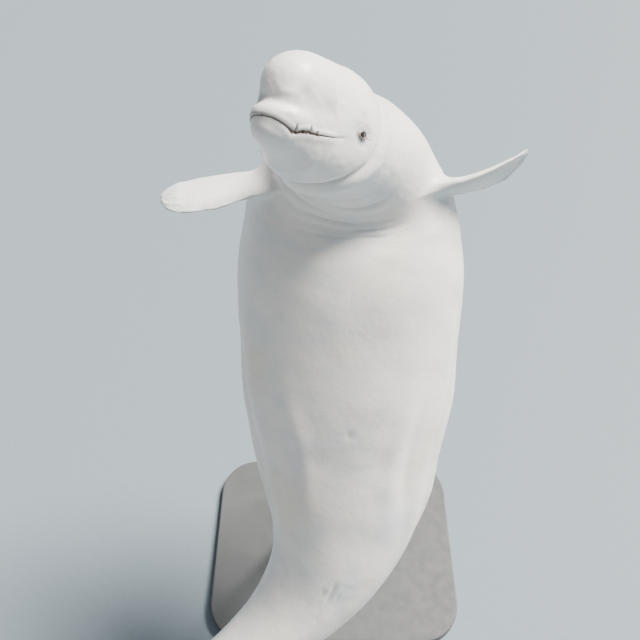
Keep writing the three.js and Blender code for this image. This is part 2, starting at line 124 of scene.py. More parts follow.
# Flesh of the body
# Blubber makes the trunk a full, smooth barrel. The head is a few rounded masses on a slimmer neck:
# cranium, throat, the soft melon over the forehead, the upper lip and the jaw.
BODY_STATIONS = [
    # back, top, bottom, half width, fullness of the section
    (0.22, 0.095, -0.125, 0.100, 2.0),
    (0.39, 0.158, -0.172, 0.148, 2.0),
    (0.50, 0.160, -0.196, 0.178, 2.0),
    (0.60, 0.200, -0.226, 0.238, 2.05),
    (0.76, 0.232, -0.270, 0.324, 2.1),
    (0.98, 0.290, -0.335, 0.424, 2.15),
    (1.30, 0.358, -0.396, 0.474, 2.2),
    (1.70, 0.384, -0.410, 0.476, 2.2),
    (2.10, 0.364, -0.378, 0.428, 2.15),
    (2.50, 0.305, -0.316, 0.326, 2.05),
    (2.90, 0.238, -0.245, 0.215, 1.95),
    (3.25, 0.172, -0.178, 0.130, 1.85),
    (3.55, 0.112, -0.116, 0.078, 1.8),
    (3.78, 0.066, -0.066, 0.050, 1.9),
    (3.89, 0.030, -0.030, 0.024, 2.0),
]
HEAD_MASSES = [
    # centre back and up, half sizes along, across and up, squareness, reach of the blend
    (0.348, 0.010, (0.220, 0.148, 0.184), 2.0, 0.094),
    (0.352, -0.084, (0.250, 0.136, 0.102), 2.0, 0.085),
    (0.168, 0.064, (0.141, 0.110, 0.116), 2.1, 0.062),
    (0.178, -0.032, (0.172, 0.103, 0.046), 2.3, 0.040),
    (0.184, -0.078, (0.174, 0.087, 0.062), 2.1, 0.034),
]
SKIN_REACH = 0.65
HALVINGS = 26


def profile(rows, column):
    """A smooth curve through one column of a table that never swings past its rows."""
    table = np.array(rows, float)
    at = table[:, 0]
    value = table[:, column]
    width = np.diff(at)
    rise = np.diff(value) / width
    slope = np.zeros(len(at))
    slope[0] = rise[0]
    slope[-1] = rise[-1]
    for i in range(1, len(at) - 1):
        if rise[i - 1] * rise[i] > 0:
            before = 2 * width[i] + width[i - 1]
            after = width[i] + 2 * width[i - 1]
            slope[i] = (before + after) / (before / rise[i - 1] + after / rise[i])

    def curve(where):
        where = np.clip(where, at[0], at[-1])
        i = np.clip(np.searchsorted(at, where, side="right") - 1, 0, len(width) - 1)
        t = (where - at[i]) / width[i]
        ends = (1 + 2 * t) * (1 - t) ** 2 * value[i] + t * t * (3 - 2 * t) * value[i + 1]
        return ends + width[i] * (t * (1 - t) ** 2 * slope[i] - t * t * (1 - t) * slope[i + 1])

    return curve


body_top = profile(BODY_STATIONS, 1)
body_bottom = profile(BODY_STATIONS, 2)
body_half_width = profile(BODY_STATIONS, 3)
body_fullness = profile(BODY_STATIONS, 4)


def soft_union(a, b, reach):
    """Joins two surfaces with a fillet that has no edge to its curve."""
    overlap = np.maximum(1 - np.abs(a - b) / (1.5 * reach), 0)
    return np.minimum(a, b) - overlap ** 3 * reach / 4


def flesh_depth(places):
    """How far a place is outside the skin, or below zero how deep it is inside the body."""
    back = places[..., 0]
    top = body_top(back)
    bottom = body_bottom(back)
    across = body_half_width(back)
    power = body_fullness(back)
    upright = (top - bottom) / 2
    above = places[..., 2] - (top + bottom) / 2
    ratio = np.abs(places[..., 1] / across) ** power + np.abs(above / upright) ** power
    depth = (ratio ** (1 / power) - 1) * np.minimum(across, upright)
    depth = np.maximum(depth, BODY_STATIONS[0][0] - back)
    for centre_back, up, half_sizes, square, reach in HEAD_MASSES:
        share = np.abs(places - np.array([centre_back, 0, up])) / half_sizes
        ratio = np.maximum((share ** square).sum(-1) ** (1 / square), 1e-6)
        slope = (share / ratio[..., None]) ** (square - 1) / half_sizes
        depth = soft_union(depth, (ratio - 1) / np.linalg.norm(slope, axis=-1), reach)
    return depth


def meet_skin(origins, directions):
    """Where rays from inside the body meet its skin."""
    inside = np.zeros(origins.shape[:-1])
    outside = np.full(origins.shape[:-1], SKIN_REACH)
    for _ in range(HALVINGS):
        middle = (inside + outside) / 2
        within = flesh_depth(origins + middle[..., None] * directions) < 0
        inside = np.where(within, middle, inside)
        outside = np.where(within, outside, middle)
    return origins + ((inside + outside) / 2)[..., None] * directions


def outward(places):
    nudge = 0.001
    slopes = [flesh_depth(places + nudge * step) - flesh_depth(places - nudge * step) for step in np.eye(3)]
    normal = np.stack(slopes, -1)
    return normal / np.linalg.norm(normal, axis=-1, keepdims=True)


# Rings of skin
# The skin is knitted from rings round the body, close together on the head and wider apart on the trunk.
# In front of the mouth corner the rings fan out from the tip of the mouth, so its slit runs along the net.
MOUTH_LEVEL = -0.052
MOUTH_CORNER = 0.238
AXIS_STATIONS = [(MOUTH_CORNER, MOUTH_LEVEL), (0.42, -0.046), (0.9, 0.0), (1.4, 0.0), (4.0, 0.0)]
HEAD_SIDES = 288
TRUNK_SIDES = HEAD_SIDES // 2
NOSE_RINGS = 116
TRUNK_START = 0.68
TAIL_TIP = 3.89
RING_PLAN = [(MOUTH_CORNER, 0.395, 46), (0.395, TRUNK_START, 42), (TRUNK_START, 3.80, 150), (3.80, 3.884, 7)]
axis_level = profile(AXIS_STATIONS, 1)


def smooth_step(value, start, end):
    share = np.clip((value - start) / (end - start), 0, 1)
    return share * share * (3 - 2 * share)


def hump(value, centre, width):
    return np.exp(-(((value - centre) / width) ** 2))


def crowded(degrees, crowd, shares):
    """Angles at shares of the way through, closer together where the crowd is dense."""
    total = np.concatenate([[0], np.cumsum((crowd[1:] + crowd[:-1]) / 2)])
    return np.radians(np.interp(shares * total[-1], total, degrees))


# Angles are closer together at the mouth and the eyes, a little at the crown, and where the lips wrinkle.
circle = np.linspace(0, 360, 7201)
face_crowd = 2.0 * (hump(circle, 5, 24) + hump(circle, 365, 24) + hump(circle, 175, 24))
head_angles = crowded(circle, 1 + face_crowd + hump(circle, 90, 12), np.arange(HEAD_SIDES) / HEAD_SIDES)
even_angles = np.arange(HEAD_SIDES) * 2 * math.pi / HEAD_SIDES
quarter = np.linspace(0, 90, 901)
nose_opening = crowded(quarter, 1 + 1.3 * hump(quarter, 36, 15), np.arange(1, NOSE_RINGS + 1) / NOSE_RINGS)


def ring_angles(back):
    share = smooth_step(back, 0.40, TRUNK_START)
    return head_angles + (even_angles - head_angles) * share


ring_backs = np.concatenate([np.linspace(start, end, count + 1)[1:] for start, end, count in RING_PLAN])
neck_rings = int((ring_backs <= TRUNK_START + 1e-6).sum())


def nose_places():
    opening = nose_opening[:, None]
    side = np.sin(opening) * np.cos(head_angles)
    up = np.sin(opening) * np.sin(head_angles)
    direction = np.stack([-np.cos(opening) * np.ones_like(side), side, up], -1)
    centre = np.broadcast_to(np.array([MOUTH_CORNER, 0, MOUTH_LEVEL]), direction.shape)
    return meet_skin(centre, direction)


def ring_places(backs, every):
    angles = np.stack([ring_angles(back)[::every] for back in backs])
    direction = np.stack([np.zeros_like(angles), np.cos(angles), np.sin(angles)], -1)
    centre = np.zeros_like(direction)
    centre[..., 0] = backs[:, None]
    centre[..., 2] = axis_level(backs)[:, None]
    return meet_skin(centre, direction)


head_net = np.concatenate([nose_places(), ring_places(ring_backs[:neck_rings], 1)])
trunk_net = ring_places(ring_backs[neck_rings:], 2)
snout_tip = meet_skin(np.array([MOUTH_CORNER, 0, MOUTH_LEVEL]), np.array([-1.0, 0, 0]))

# Folds and features of the skin
# Soft blubber creases where the body bends: behind the head, under the throat and along the flanks.
# Each feature raises or sinks the skin, and marks painted shade in its folds and pits, slate grey tint
# that is partly painted shade, or wet lip.
MOUTH_END = 0.206
MOUTH_LINE = [
    # back, level of the slit, half the gap, depth
    (0.000, -0.0440, 0.0019, 0.0038),
    (0.008, -0.0450, 0.0019, 0.0038),
    (0.019, -0.0492, 0.0022, 0.0038),
    (0.040, -0.0578, 0.0027, 0.0042),
    (0.054, -0.0650, 0.0046, 0.0042),
    (0.066, -0.0700, 0.0074, 0.0044),
    (0.075, -0.0675, 0.0068, 0.0048),
    (0.086, -0.0622, 0.0064, 0.0050),
    (0.105, -0.0578, 0.0062, 0.0050),
    (0.134, -0.0555, 0.0038, 0.0048),
    (0.167, -0.0515, 0.0028, 0.0040),
    (0.206, -0.0455, 0.0020, 0.0030),
    (0.240, -0.0380, 0.0020, 0.000),
]
mouth_level = profile(MOUTH_LINE, 1)
mouth_gap = profile(MOUTH_LINE, 2)
mouth_depth = profile(MOUTH_LINE, 3)
LIP_WRINKLES = {
    # side of the mouth: places along the back, and how far up the lip each runs
    1: [(0.0715, 0.028), (0.1145, 0.023), (0.1370, 0.012), (0.0930, 0.008)],
    -1: [(0.0600, 0.016), (0.0970, 0.024), (0.1240, 0.014), (0.1520, 0.011)],
}
HOLLOWS = [
    # back, left, up, size, depth, which is below zero for a swell
    (0.040, 0.038, 0.025, 0.026, -0.0062),
    (0.058, 0.068, 0.031, 0.026, -0.0044),
    (0.046, -0.048, 0.018, 0.023, 0.0062),
    (0.072, 0.081, 0.042, 0.019, 0.0046),
    (0.160, 0.118, 0.027, 0.026, 0.0036),
    (0.035, 0.065, -0.031, 0.012, 0.0022),
    (0.082, -0.088, 0.042, 0.022, 0.0036),
    (0.150, -0.126, 0.024, 0.024, 0.0030),
    (0.036, -0.076, -0.030, 0.013, 0.0020),
    (0.306, 0.154, 0.048, 0.016, 0.0024),
    (0.306, -0.154, 0.048, 0.016, 0.0024),
]
COLLAR_LINE = [
    # degrees above the axis, back, depth of the crease, swell behind it
    (-90, 0.262, 0.017, 0.010),
    (-75, 0.268, 0.017, 0.010),
    (-59, 0.284, 0.016, 0.010),
    (-29, 0.332, 0.011, 0.010),
    (-12, 0.368, 0.0045, 0.008),
    (3, 0.389, 0.0020, 0.007),
    (20, 0.405, 0.0040, 0.006),
    (39, 0.424, 0.0080, 0.004),
    (60, 0.446, 0.0080, 0.003),
    (90, 0.454, 0.0070, 0.003),
]
NECK_FOLDS = [
    # back, depth, degrees round the ring where it is deepest, reach in degrees
    (0.500, 0.0045, 150, 55),
    (0.545, 0.0060, 185, 60),
    (0.600, 0.0070, 200, 65),
    (0.660, 0.0060, 215, 60),
    (0.735, 0.0080, 262, 62),
    (0.810, 0.0070, 272, 50),
    (0.880, 0.0050, 268, 40),
    (0.520, 0.0040, 285, 40),
    (0.600, 0.0055, 292, 45),
]
EYE_BACK = 0.307
EYE_LEVEL = -0.010
EYE_CREASES = [
    # start and end from the middle of the eye, heading in degrees, depth
    (0.019, 0.046, 24, 0.0020),
    (0.020, 0.052, -10, 0.0022),
    (0.020, 0.040, 48, 0.0014),
    (0.021, 0.040, -42, 0.0014),
    (0.020, 0.034, 196, 0.0014),
    (0.020, 0.032, 222, 0.0010),
]
FLANK_FOLDS = [
    # from, to (back), degrees above the axis, height, width in metres
    (1.25, 2.75, -34, 0.011, 0.055),
    (1.50, 2.50, -58, 0.008, 0.045),
    (1.90, 3.05, -14, 0.006, 0.040),
]
BELLY_MARKS = [
    # back, left, length, width, depth: navel, genital slit, two mammary slits and vent
    (1.880, 0.000, 0.020, 0.014, 0.0050),
    (2.700, 0.000, 0.062, 0.007, 0.0070),
    (2.705, 0.034, 0.022, 0.005, 0.0035),
    (2.705, -0.034, 0.022, 0.005, 0.0035),
    (2.835, 0.000, 0.012, 0.008, 0.0045),
]
# The blowhole is given as back, left and half length, the ridge as from, to, height and half width, and the
# ear as back and up.
BLOWHOLE = (0.402, 0.006, 0.019)
BLOWHOLE_CURVE = 16.0
RIDGE = (1.99, 2.56, 0.016, 0.026)
EAR = (0.388, -0.022)
EAR_SIZE = 0.0035
WRINKLE_DEPTH = 0.0065
WRINKLE_WIDTH = 0.0034
WRINKLE_SWELL = 0.0018
LOWER_LIP_SWELL = 0.0026
UPPER_LIP_SWELL = 0.0022
UPPER_LIP_DROOP = 0.0026
BROW_SWELL = 0.0040
KEEL_SWELL = 0.009


def mottle(places, size, seed):
    """Soft lumps of about the given size, from -1 to 1, the same on every run."""
    cells = np.asarray(places) / size + seed * 17.31
    low = np.floor(cells).astype(np.int64)
    share = cells - low
    share = share * share * (3 - 2 * share)
    total = 0.0
    for corner in np.ndindex(2, 2, 2):
        at = low + np.array(corner)
        code = (at[..., 0] * 73856093) ^ (at[..., 1] * 19349663) ^ (at[..., 2] * 83492791) ^ (seed * 2654435)
        code = (code ^ (code >> 13)) * 1274126177 & 0xFFFFFF
        weight = np.prod(np.where(corner, share, 1 - share), axis=-1)
        total = total + weight * (code / 0x7FFFFF - 1)
    return total


def mouth_relief(back, side, up):
    """Two rolled lips with a slit between them, pinched where the upper lip is wrinkled."""
    offset = up - mouth_level(back)
    open_share = 1 - smooth_step(back, MOUTH_END - 0.030, MOUTH_END + 0.008)
    wrinkle = np.zeros_like(back)
    beside = np.zeros_like(back)
    pinch = np.zeros_like(back)
    for which, wrinkles in LIP_WRINKLES.items():
        on_side = smooth_step(side * which, 0.0, 0.02)
        for at, length in wrinkles:
            slant = at - 0.30 * offset
            reach = smooth_step(offset, -0.0075, -0.0045) * (1 - smooth_step(offset, length * 0.4, length))
            wrinkle = np.maximum(wrinkle, on_side * reach * hump(back, slant, WRINKLE_WIDTH))
            both_sides = hump(back, slant - 0.0055, 0.004) + hump(back, slant + 0.0055, 0.004)
            beside = beside + on_side * reach * both_sides
            pinch = np.maximum(pinch, on_side * smooth_step(length, 0.010, 0.020) * hump(back, at, 0.0038))
    gap = mouth_gap(back) * (1 - 0.42 * pinch)
    slit = np.exp(-np.abs(offset / gap) ** 3.0)
    lower_roll = hump(offset, -gap - 0.0080, 0.0130)
    upper_roll = hump(offset, gap + 0.0060, 0.0062)
    height = open_share * (LOWER_LIP_SWELL * lower_roll + UPPER_LIP_SWELL * upper_roll)
    height = height - open_share * mouth_depth(back) * slit
    smile = hump(back, MOUTH_END + 0.010, 0.020) * hump(offset, 0.0, 0.0045)
    height = height - 0.0022 * smile - WRINKLE_DEPTH * wrinkle + WRINKLE_SWELL * beside
    droop = -UPPER_LIP_DROOP * open_share * hump(offset, gap + 0.001, 0.0035)
    # Painted shade darkens the slit, the mouth corner and the wrinkles of the lips.
    crease = np.maximum(0.25 * smile + 0.5 * open_share * hump(offset, 0, gap * 1.6), 0.95 * wrinkle)
    return height, droop, crease, open_share * slit


def head_relief(back, side, up, degrees):
    """Hollows of the melon, the groove above the beak, the collar fold and the skin round the eyes."""
    height = np.zeros_like(back)
    crease = np.zeros_like(back)
    slate = np.zeros_like(back)
    for at_back, at_side, at_up, size, depth in HOLLOWS:
        near = np.exp(-((back - at_back) ** 2 + (side - at_side) ** 2 + (up - at_up) ** 2) / size ** 2)
        height = height - depth * near
        # Painted shade in each hollow, laid on as slate grey.
        slate = slate + (0.30 * near if depth > 0 else 0)
    beak_line = 0.014 + 0.16 * np.abs(side)
    beak_crease = hump(up, beak_line, 0.010) * (1 - smooth_step(back, 0.040, 0.080))
    height = height - 0.0014 * beak_crease
    # Painted shade in the groove above the beak.
    slate = slate + 0.06 * beak_crease
    height = height + BROW_SWELL * hump(back, 0.246, 0.040) * smooth_step(degrees, 40, 75)
    collar = profile(COLLAR_LINE, 1)(degrees)
    collar_depth = profile(COLLAR_LINE, 2)(degrees)
    collar_swell = profile(COLLAR_LINE, 3)(degrees)
    groove = hump(back, collar, 0.019) * 0.72 + hump(back, collar, 0.0055) * 0.28
    swell = hump(back, collar + 0.056, 0.040)
    height = height - collar_depth * groove + collar_swell * swell
    # Painted shade in the collar fold.
    crease = crease + 26 * collar_depth * hump(back, collar, 0.009)
    along = back - EYE_BACK
    above = up - EYE_LEVEL
    beside = smooth_step(np.abs(side), 0.06, 0.10)
    distance = np.hypot(along, above)
    lid_fold = hump(above, 0.036, 0.012) * hump(along, 0, 0.03)
    height = height - beside * (0.0030 * hump(distance, 0.030, 0.012) - 0.0016 * lid_fold)
    # Slate grey round the eye, partly the skin's own tint and partly painted shade.
    slate = slate + beside * (0.36 * hump(distance, 0, 0.052) + 0.28 * hump(distance, 0, 0.026))
    for start, end, heading, depth in EYE_CREASES:
        heading = math.radians(heading)
        run = along * math.cos(heading) + above * math.sin(heading)
        off = above * math.cos(heading) - along * math.sin(heading)
        off = off - 3.5 * (run - start) * np.abs(run - start)
        line = beside * smooth_step(run, start, start + 0.008) * (1 - smooth_step(run, end - 0.014, end))
        line = line * hump(off, 0, 0.0017)
        height = height - depth * line
        # Painted shade in the wrinkles round the eye.
        crease = crease + 0.60 * line
    ear = beside * np.exp(-((back - EAR[0]) ** 2 + (up - EAR[1]) ** 2) / EAR_SIZE ** 2)
    height = height - 0.0030 * ear
    # Painted shade in the ear opening.
    crease = crease + ear
    top_side = smooth_step(up, 0.08, 0.12)
    hole_back, hole_side, half_length = BLOWHOLE
    bowed = hole_back - BLOWHOLE_CURVE * (side - hole_side) ** 2
    reach = 1 - smooth_step(np.abs(side - hole_side), half_length - 0.006, half_length + 0.004)
    slot = top_side * reach * hump(back, bowed, 0.0030)
    rim = top_side * (1 - smooth_step(np.abs(side - hole_side), half_length, half_length + 0.014))
    height = height - 0.0110 * slot + 0.0034 * rim * hump(back, bowed + 0.002, 0.011)
    # Painted shade in the blowhole slot.
    crease = crease + slot
    return height, crease, slate


def trunk_relief(places, degrees, turn):
    """Neck rolls, flank folds, the ridge of the back, the keels of the tail and the marks on the belly."""
    back, side, up = places[..., 0], places[..., 1], places[..., 2]
    height = np.zeros_like(back)
    crease = np.zeros_like(back)
    waver = 0.010 * mottle(places, 0.09, 3)
    for at, depth, deepest, reach in NECK_FOLDS:
        apart = np.abs((turn - deepest + 180) % 360 - 180)
        share = 1 - smooth_step(apart, reach * 0.35, reach)
        line = share * hump(back + waver, at, 0.010)
        height = height - depth * line + 0.5 * depth * share * hump(back + waver, at + 0.026, 0.017)
        # Painted shade in the neck folds.
        crease = crease + 26 * depth * share * hump(back + waver, at, 0.006)
    for start, end, middle, tall, width in FLANK_FOLDS:
        share = smooth_step(back, start, start + 0.45) * (1 - smooth_step(back, end - 0.45, end))
        girth = body_half_width(back)
        off = np.radians(degrees - middle - 5 * np.sin(back * 5.2)) * girth
        height = height + tall * share * (hump(off, 0, width) - 0.8 * hump(off, width * 1.5, width * 0.6))
    start, end, tall, half_width = RIDGE
    share = np.clip((back - start) / (end - start), 0, 1)
    swell = np.sin(np.pi * share) ** 0.6
    nicks = 1 - 0.22 * np.clip(mottle(places * np.array([1, 0, 0]), 0.035, 8), 0, 1)
    ridge = swell * hump(side, 0, half_width * 0.62) * (up > 0)
    height = height + tall * ridge * nicks
    keel = smooth_step(back, 2.85, 3.25) * (1 - smooth_step(back, 3.60, 3.80))
    height = height + KEEL_SWELL * keel * hump(side, 0, 0.022)
    for at, at_side, length, width, depth in BELLY_MARKS:
        slot = (up < 0) * np.exp(-np.abs((back - at) / length) ** 3) * hump(side, at_side, width)
        rim = (up < 0) * np.exp(-np.abs((back - at) / (length * 1.3)) ** 3) * hump(side, at_side, width * 3)
        height = height - depth * slot + 0.35 * depth * (rim - slot)
        # Painted shade in the navel and the slits.
        crease = crease + 0.35 * slot
    soft = smooth_step(back, 0.30, 0.62)
    fade = 1 - smooth_step(back, 3.3, 3.8)
    height = height + soft * fade * (0.0050 * mottle(places, 0.24, 1) + 0.0022 * mottle(places, 0.10, 2))
    patches = smooth_step(mottle(places, 0.30, 6), 0.0, 0.6)
    ripples = mottle(places * np.array([1.0, 0.35, 0.35]), 0.030, 5) * patches
    height = height + 0.0016 * soft * fade * ripples
    return height, crease


def relief(places):
    """How far the skin stands out or sinks at each place, how it is pulled along, and its marks."""
    back, side, up = places[..., 0], places[..., 1], places[..., 2]
    axis = axis_level(back)
    degrees = np.degrees(np.arctan2(up - axis, np.abs(side) + 1e-9))
    turn = np.degrees(np.arctan2(up - axis, side)) % 360
    in_front = 1 - smooth_step(back, 0.24, 0.30)
    lips, droop, lip_crease_shade, slit = mouth_relief(back, side, up)
    face, face_crease_shade, slate = head_relief(back, side, up, degrees)
    from_slit = up - mouth_level(back)
    # Painted shade along the slit and under the front of the upper lip.
    slit_painted_shade = 0.22 * hump(from_slit, 0, 0.014)
    lip_front_painted_shade = 0.55 * hump(from_slit, 0.008, 0.010) * hump(back, 0, 0.046)
    trunk, trunk_crease_shade = trunk_relief(places, degrees, turn)
    height = in_front * lips + face + trunk + 0.0007 * mottle(places, 0.018, 4)
    slide = np.zeros(places.shape)
    slide[..., 2] = in_front * droop
    marks = {
        "crease": np.clip(in_front * (lip_crease_shade + lip_front_painted_shade) + face_crease_shade + trunk_crease_shade, 0, 1),
        "slate": np.clip(slate + in_front * slit_painted_shade, 0, 1),
        "lip": np.clip(in_front * slit * 1.3, 0, 1),
    }
    return height, slide, marks


# Skin of the whale
# One hide covers the whole body with no seam. Its corners are gathered here with their straight places
# and marks, and the eyelids, flippers and flukes then grow out of holes left in the rings.
# Marks: painted shade in folds and pits, slate grey partly painted shade, lip lining, fin pucker.
MARKS = ("crease", "slate", "lip", "rough")
corner_points = []
corner_straight = []
corner_marks = []
faces = []


def add_corners(world, straight, marks=None):
    start = sum(len(points) for points in corner_points)
    corner_points.append(np.asarray(world, float).reshape(-1, 3))
    corner_straight.append(np.asarray(straight, float).reshape(-1, 3))
    table = np.zeros((len(corner_points[-1]), len(MARKS)))
    for name, value in (marks or {}).items():
        table[:, MARKS.index(name)] = np.broadcast_to(value, np.asarray(world).shape[:-1]).reshape(-1)
    corner_marks.append(table)
    return start + np.arange(len(table)).reshape(np.asarray(world).shape[:-1])


def dressed(places):
    """Places on the bare flesh, with their folds added, and their marks."""
    height, slide, marks = relief(places)
    return places + outward(places) * height[..., None] + slide, marks


def skin_corners(places):
    shaped, marks = dressed(places)
    return add_corners(laid(shaped), places, marks)


head_index = skin_corners(head_net)
trunk_index = skin_corners(trunk_net)
tip_index = skin_corners(snout_tip[None])[0]
tail_end = np.array([[TAIL_TIP, 0.0, 0.0]])
tail_index = add_corners(laid(tail_end), tail_end)[0]
head_kept = np.ones((len(head_index) - 1, HEAD_SIDES), bool)
trunk_kept = np.ones((len(trunk_index) - 1, TRUNK_SIDES), bool)


def cut_hole(index, kept, rows, columns):
    """Leaves out a block of the net and returns its rim, in order, as grid places."""
    first_row, last_row = rows
    first_column, last_column = columns
    sides = index.shape[1]
    for row in range(first_row, last_row):
        for column in range(first_column, last_column):
            kept[row, column % sides] = False
    rim = [(row, first_column) for row in range(first_row, last_row)]
    rim += [(last_row, column) for column in range(first_column, last_column)]
    rim += [(row, last_column) for row in range(last_row, first_row, -1)]
    rim += [(first_row, column) for column in range(last_column, first_column, -1)]
    return [(row, column % sides) for row, column in rim]


def grow(rim_index, rings, centre_index):
    """Skin from the rim of a hole through further rings, closed at the end."""
    loops = [rim_index, *rings]
    for outer, inner in zip(loops[:-1], loops[1:]):
        quads = np.stack([outer, np.roll(outer, -1), np.roll(inner, -1), inner], -1)
        faces.extend(quads.tolist())
    faces.extend([int(a), int(b), int(centre_index)] for a, b in zip(loops[-1], np.roll(loops[-1], -1)))


def hole_span(flags):
    """First and last row and column of a block that holds every flagged place, which may cross column 0."""
    rows = np.flatnonzero(flags.any(1))
    columns = np.flatnonzero(flags.any(0))
    sides = flags.shape[1]
    gaps = np.diff(np.concatenate([columns, [columns[0] + sides]]))
    widest = int(np.argmax(gaps))
    start = columns[(widest + 1) % len(columns)]
    end = columns[widest]
    if end < start:
        end += sides
    return (int(rows[0]), int(rows[-1])), (int(start), int(end))


# Eyelids
# The eye is small, set in a round opening with thick soft lids that follow the eyeball, then turn in and
# line its socket. The lids are rings of skin that close in on the opening.
EYEBALL_SUNK = 0.014
LID_RADIUS = 0.0206
SOCKET_RADIUS = 0.0193
EYE_HALF_WIDTH = 0.0146
EYE_HALF_HEIGHT = 0.0118
PATCH_REACH = (0.036, 0.030)
LID_RINGS = 16
SOCKET_RINGS = 7


def eye_centre(side):
    place = meet_skin(np.array([EYE_BACK, 0, EYE_LEVEL]), np.array([0.0, side, 0.0]))
    return place - np.array([0, side * EYEBALL_SUNK, 0])


def lid_opening(angle):
    """The almond of the opening, pulled out to a corner in front and behind."""
    across = EYE_HALF_WIDTH * np.cos(angle) * (1 + 0.10 * np.cos(angle) ** 6)
    up = EYE_HALF_HEIGHT * np.sin(angle) * (0.94 + 0.10 * np.sin(angle))
    return np.stack([across, up], -1)


def eyelids(side):
    centre = eye_centre(side)
    off = head_net - np.array([EYE_BACK, 0, EYE_LEVEL])
    near = (np.abs(off[..., [0, 2]]) < PATCH_REACH).all(-1) & (off[..., 1] * side > 0)
    rim = cut_hole(head_index, head_kept, *hole_span(near))
    rows, columns = np.array(rim).T
    rim_index = head_index[rows, columns]
    rim_flat = off[rows, columns][:, [0, 2]]
    angle = np.arctan2(rim_flat[:, 1] / EYE_HALF_HEIGHT, rim_flat[:, 0] / EYE_HALF_WIDTH)
    opening = lid_opening(angle)
    rings = []
    for share in np.linspace(0, 1, LID_RINGS + 1)[1:]:
        share = 1 - (1 - share) ** 1.35
        flat = rim_flat * (1 - share) + opening * share
        origin = np.zeros((len(flat), 3))
        origin[:, 0] = EYE_BACK + flat[:, 0]
        origin[:, 2] = EYE_LEVEL + flat[:, 1]
        places = meet_skin(origin, np.broadcast_to(np.array([0.0, side, 0.0]), origin.shape))
        shaped, marks = dressed(places)
        apart = np.hypot(*(flat - opening).T)
        skin_out = (shaped[:, 1] - centre[1]) * side
        round_out = np.sqrt(np.maximum(LID_RADIUS ** 2 - (flat ** 2).sum(1), 0))
        out = -soft_union(-skin_out, -round_out, 0.006)
        out = out - 0.0012 * hump(apart, 0.0062, 0.0015) - 0.0009 * hump(apart, 0.0112, 0.0018)
        out = out + 0.0007 * hump(apart, 0.0015, 0.0018)
        shaped[:, 1] = centre[1] + side * out
        # Painted shade in the lid folds, and a dark ring of slate and lip lining round the opening, partly
        # painted shade of the socket.
        marks["crease"] = np.clip(marks["crease"] + 0.45 * hump(apart, 0.0062, 0.0016)
                                  + 0.35 * hump(apart, 0.0112, 0.0018), 0, 1)
        marks["slate"] = np.clip(marks["slate"] + 0.75 * hump(apart, 0, 0.0075), 0, 1)
        marks["lip"] = 0.95 * hump(apart, 0, 0.0042)
        rings.append(add_corners(laid(shaped), places, marks))
    radius = np.hypot(*opening.T)
    heading = opening / radius[:, None]
    margin = np.arcsin(radius * 0.95 / SOCKET_RADIUS)
    turned_in = [(radius * 0.965, np.sqrt(LID_RADIUS ** 2 - radius ** 2) - 0.0004)]
    for share in np.linspace(0, 1, SOCKET_RINGS + 1)[:-1]:
        swing = margin + (math.pi - margin) * share
        turned_in.append((SOCKET_RADIUS * np.sin(swing), SOCKET_RADIUS * np.cos(swing)))
    for reach, out in turned_in:
        shaped = np.broadcast_to(centre, (len(opening), 3)).copy()
        shaped[:, 0] += heading[:, 0] * reach
        shaped[:, 2] += heading[:, 1] * reach
        shaped[:, 1] += side * out
        # The socket is lined in lip colour, darkened with painted shade.
        rings.append(add_corners(laid(shaped), shaped, {"lip": 0.8, "slate": 1.0}))
    bottom = centre - np.array([0, side * SOCKET_RADIUS, 0])
    grow(rim_index, rings, add_corners(laid(bottom[None]), bottom[None], {"lip": 1.0})[0])


eyelids(1)
eyelids(-1)

# Flippers and flukes
# The flippers are short, broad paddles with curled tips, each grown from the side of the chest. The
# flukes are two wide blades of tough tissue that spread from the end of the tail, with a notch between.
FLIPPER_ROOT = (0.81, 0.27, -0.08)
FLIPPER_LENGTH = 0.46
FLIPPER_STATIONS = [
    # share of the length, leading edge, trailing edge, thickness
    (0.00, 0.078, -0.070, 0.076),
    (0.18, 0.084, -0.074, 0.068),
    (0.40, 0.104, -0.106, 0.054),
    (0.62, 0.112, -0.132, 0.043),
    (0.80, 0.102, -0.130, 0.034),
    (0.92, 0.076, -0.104, 0.027),
    (0.98, 0.042, -0.068, 0.021),
    (1.00, 0.016, -0.036, 0.014),
]
FLIPPER_POSES = {
    # side: where it points, which way its leading edge faces, curl of the tip, twist of the tip in degrees
    1: ((0.93, 0.26, -0.004), (0.0, -0.62, 0.78), 0.078, 18),
    -1: ((-0.98, -0.15, -0.09), (0.0, 0.97, -0.12), 0.012, 0),
}
FLUKE_HALF_SPAN = 0.48
FLUKE_STATIONS = [
    # share of the half span, leading edge back, trailing edge back, thickness
    (0.00, 3.560, 3.900, 0.084),
    (0.10, 3.588, 3.952, 0.066),
    (0.25, 3.640, 3.990, 0.050),
    (0.50, 3.728, 4.000, 0.036),
    (0.75, 3.818, 3.986, 0.025),
    (0.90, 3.876, 3.962, 0.017),
    (0.97, 3.910, 3.946, 0.011),
    (1.00, 3.926, 3.938, 0.006),
]
FLUKE_DROOP = 0.022
FLUKE_ROOT_BACKS = (3.585, 3.866)
FLUKE_ROOT_DEGREES = 36
FIN_RINGS = 40
FILLET_RINGS = 9


def fin_section(rows, share, angle):
    """Place along the chord and through the thickness, round the edge of one slice of a fin."""
    leading, trailing, thick = (profile(rows, column)(share) for column in (1, 2, 3))
    along = (leading + trailing) / 2 + (leading - trailing) / 2 * np.cos(angle)
    through = thick / 2 * np.sin(angle) * (0.8 + 0.2 * np.cos(angle))
    return along, through


